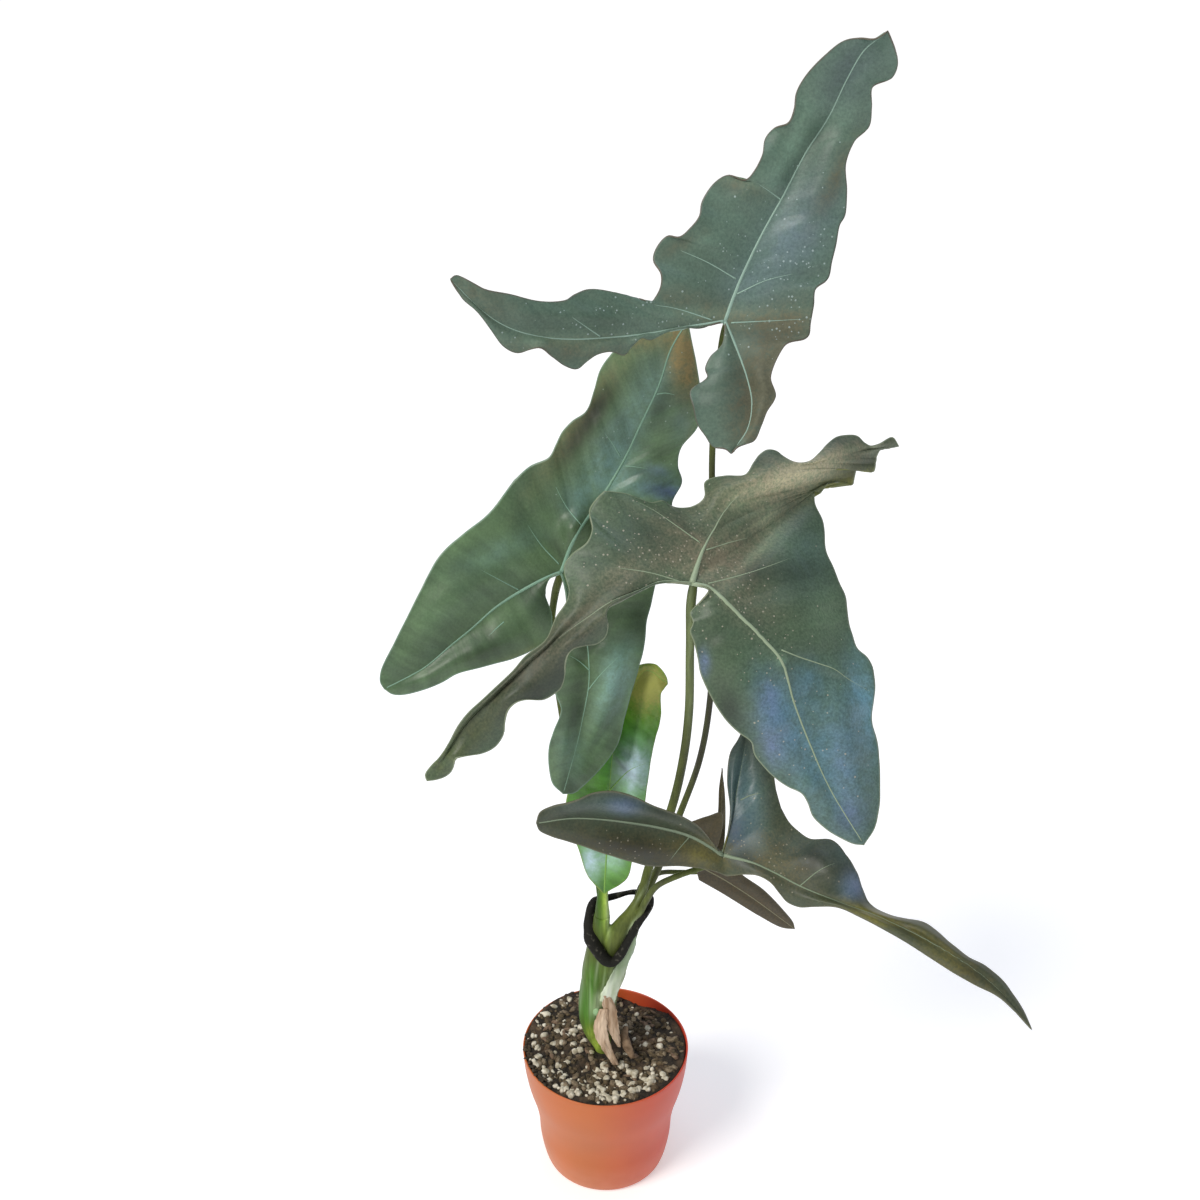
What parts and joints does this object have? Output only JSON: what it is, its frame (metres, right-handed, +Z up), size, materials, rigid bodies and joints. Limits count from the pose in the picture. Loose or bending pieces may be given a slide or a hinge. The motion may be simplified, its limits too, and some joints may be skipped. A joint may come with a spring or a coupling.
{
  "type": "potted thaumatophyllum stenolobum",
  "caption": "Young aroid house plant with large wavy three-lobed leaves on long stalks, in a round plastic nursery pot filled with soil.",
  "frame": {"origin": "centre of the pot's flat base, on the surface that it stands on", "axes": "+Z up; the pictured side looks towards -Y, and +X is to the viewer's right"},
  "size_m": [0.3972, 0.2117, 0.7835],
  "materials": {
    "pot": "moulded terracotta-coloured polypropylene, satin",
    "soil": "peat and bark potting mix with white perlite, rough",
    "stem": "smooth green stem, satin",
    "sheath_pale": "fresh pale sheath, satin",
    "sheath_dry": "dry papery sheath, matt",
    "tie": "black soft tie, matt",
    "petiole": "smooth leaf stalk, satin",
    "petiole_young": "young bright leaf stalk, glossy",
    "blade_a": "blue-green leaf, semi-gloss, dusty",
    "blade_b": "taupe and green leaf, semi-gloss, dusty",
    "blade_c": "green leaf, semi-gloss",
    "blade_d": "dark olive leaf, semi-gloss",
    "blade_e": "young bright green leaf, glossy",
    "blade_f": "olive brown leaf, satin"
  },
  "bodies": {
    "root": {"pot": "pot", "soil": "soil", "stem": "stem", "sheath_pale": "sheath_pale", "sheath_dry": "sheath_dry", "tie": "tie", "petiole_a": "petiole", "petiole_b": "petiole", "petiole_c": "petiole", "petiole_d": "petiole", "petiole_e": "petiole_young", "petiole_f": "petiole", "blade_a": "blade_a", "blade_b": "blade_b", "blade_c": "blade_c", "blade_d": "blade_d", "blade_e": "blade_e", "blade_f": "blade_f"}
  },
  "joints": []
}
